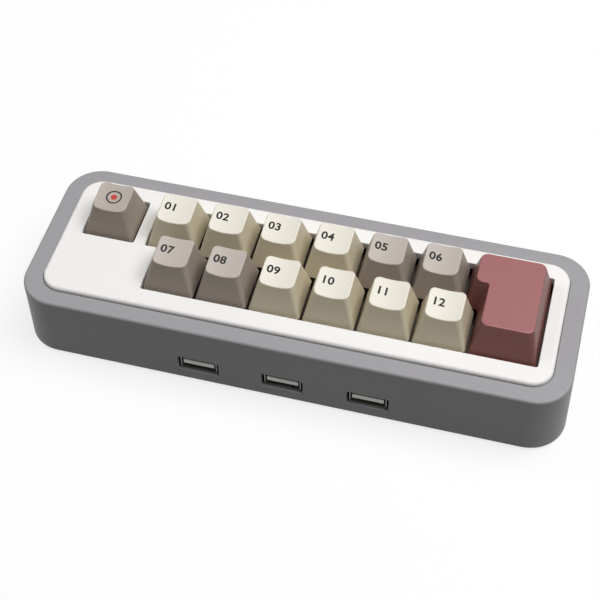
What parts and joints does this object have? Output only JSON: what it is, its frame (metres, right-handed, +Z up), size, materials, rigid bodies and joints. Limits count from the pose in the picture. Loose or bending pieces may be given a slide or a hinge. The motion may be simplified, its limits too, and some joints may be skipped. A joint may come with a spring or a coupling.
{
  "type": "macro keypad",
  "caption": "Long rounded desktop keypad with staggered rows of dished keys, a stepped enter key and sockets for plugs in the front wall.",
  "frame": {"origin": "middle of the footprint, at the bottoms of the feet", "axes": "+X along the key rows towards the enter key, +Y from the port wall to the back, +Z up"},
  "size_m": [0.1946, 0.0664, 0.0396],
  "materials": {
    "case": "fine moulded texture, satin grey",
    "cover": "fine moulded texture, warm white",
    "cap_cream": "satin, light cream",
    "cap_taupe": "satin, warm grey",
    "cap_rose": "satin, dusty rose",
    "plate": "black anodised sheet",
    "board": "green solder mask",
    "switch_body": "moulded black",
    "stem": "smooth moulded brown",
    "spring": "drawn wire",
    "contact": "gold-plated",
    "shell": "folded sheet",
    "tongue": "moulded white",
    "inlet_tongue": "moulded black",
    "chip": "moulded black",
    "screw": "plain machined",
    "foot": "soft black"
  },
  "bodies": {
    "case": {"outer_case": "case", "top_cover": "cover", "bottom_cover": "case", "switch_plate": "plate", "main_board": "board", "hub_board": "board", "switch_lower_housings": "switch_body", "switch_upper_housings": "switch_body", "switch_contacts": "contact", "switch_springs": "spring", "stabiliser_guides": "switch_body", "port_shell_1": "shell", "port_shell_2": "shell", "port_shell_3": "shell", "port_tongues": "tongue", "port_contacts": "contact", "inlet_shell": "shell", "inlet_tongue": "inlet_tongue", "board_link_body": "switch_body", "board_link_pins": "contact", "key_controller": "chip", "hub_controller": "chip", "plate_screws": "screw", "base_screws": "screw", "hub_screws": "screw", "rubber_feet": "foot"},
    "key_solo": {"keycap_solo": "cap_taupe", "stem_solo": "stem"},
    "key_01": {"keycap_01": "cap_cream", "stem_01": "stem"},
    "key_02": {"keycap_02": "cap_cream", "stem_02": "stem"},
    "key_03": {"keycap_03": "cap_cream", "stem_03": "stem"},
    "key_04": {"keycap_04": "cap_cream", "stem_04": "stem"},
    "key_05": {"keycap_05": "cap_taupe", "stem_05": "stem"},
    "key_06": {"keycap_06": "cap_taupe", "stem_06": "stem"},
    "key_07": {"keycap_07": "cap_taupe", "stem_07": "stem"},
    "key_08": {"keycap_08": "cap_taupe", "stem_08": "stem"},
    "key_09": {"keycap_09": "cap_cream", "stem_09": "stem"},
    "key_10": {"keycap_10": "cap_cream", "stem_10": "stem"},
    "key_11": {"keycap_11": "cap_cream", "stem_11": "stem"},
    "key_12": {"keycap_12": "cap_cream", "stem_12": "stem"},
    "key_enter": {"keycap_enter": "cap_rose", "stem_enter": "stem", "stabiliser_sliders": "stem"},
    "wire": {"stabiliser_wire": "spring"}
  },
  "joints": [
    {"name": "press_solo", "type": "slide", "parent": "case", "child": "key_solo", "axis": [0, 0, -1], "range_m": [0, 0.004], "stiffness_N_per_m": 60, "springref_m": -0.005, "deforming": ["switch_springs"]},
    {"name": "press_01", "type": "slide", "parent": "case", "child": "key_01", "axis": [0, 0, -1], "range_m": [0, 0.004], "stiffness_N_per_m": 60, "springref_m": -0.005, "deforming": ["switch_springs"]},
    {"name": "press_02", "type": "slide", "parent": "case", "child": "key_02", "axis": [0, 0, -1], "range_m": [0, 0.004], "stiffness_N_per_m": 60, "springref_m": -0.005, "deforming": ["switch_springs"]},
    {"name": "press_03", "type": "slide", "parent": "case", "child": "key_03", "axis": [0, 0, -1], "range_m": [0, 0.004], "stiffness_N_per_m": 60, "springref_m": -0.005, "deforming": ["switch_springs"]},
    {"name": "press_04", "type": "slide", "parent": "case", "child": "key_04", "axis": [0, 0, -1], "range_m": [0, 0.004], "stiffness_N_per_m": 60, "springref_m": -0.005, "deforming": ["switch_springs"]},
    {"name": "press_05", "type": "slide", "parent": "case", "child": "key_05", "axis": [0, 0, -1], "range_m": [0, 0.004], "stiffness_N_per_m": 60, "springref_m": -0.005, "deforming": ["switch_springs"]},
    {"name": "press_06", "type": "slide", "parent": "case", "child": "key_06", "axis": [0, 0, -1], "range_m": [0, 0.004], "stiffness_N_per_m": 60, "springref_m": -0.005, "deforming": ["switch_springs"]},
    {"name": "press_07", "type": "slide", "parent": "case", "child": "key_07", "axis": [0, 0, -1], "range_m": [0, 0.004], "stiffness_N_per_m": 60, "springref_m": -0.005, "deforming": ["switch_springs"]},
    {"name": "press_08", "type": "slide", "parent": "case", "child": "key_08", "axis": [0, 0, -1], "range_m": [0, 0.004], "stiffness_N_per_m": 60, "springref_m": -0.005, "deforming": ["switch_springs"]},
    {"name": "press_09", "type": "slide", "parent": "case", "child": "key_09", "axis": [0, 0, -1], "range_m": [0, 0.004], "stiffness_N_per_m": 60, "springref_m": -0.005, "deforming": ["switch_springs"]},
    {"name": "press_10", "type": "slide", "parent": "case", "child": "key_10", "axis": [0, 0, -1], "range_m": [0, 0.004], "stiffness_N_per_m": 60, "springref_m": -0.005, "deforming": ["switch_springs"]},
    {"name": "press_11", "type": "slide", "parent": "case", "child": "key_11", "axis": [0, 0, -1], "range_m": [0, 0.004], "stiffness_N_per_m": 60, "springref_m": -0.005, "deforming": ["switch_springs"]},
    {"name": "press_12", "type": "slide", "parent": "case", "child": "key_12", "axis": [0, 0, -1], "range_m": [0, 0.004], "stiffness_N_per_m": 60, "springref_m": -0.005, "deforming": ["switch_springs"]},
    {"name": "press_enter", "type": "slide", "parent": "case", "child": "key_enter", "axis": [0, 0, -1], "range_m": [0, 0.004], "stiffness_N_per_m": 60, "springref_m": -0.005, "deforming": ["switch_springs"]},
    {"name": "wire_swing", "type": "hinge", "parent": "case", "child": "wire", "pos_m": [0.08081, 0.00025, 0.0228], "axis": [0, -1, 0], "range_deg": [0, 25.9]}
  ],
  "couplings": [
    {"joint": "wire_swing", "follows": "press_enter", "rad_per_m": 112.98}
  ]
}
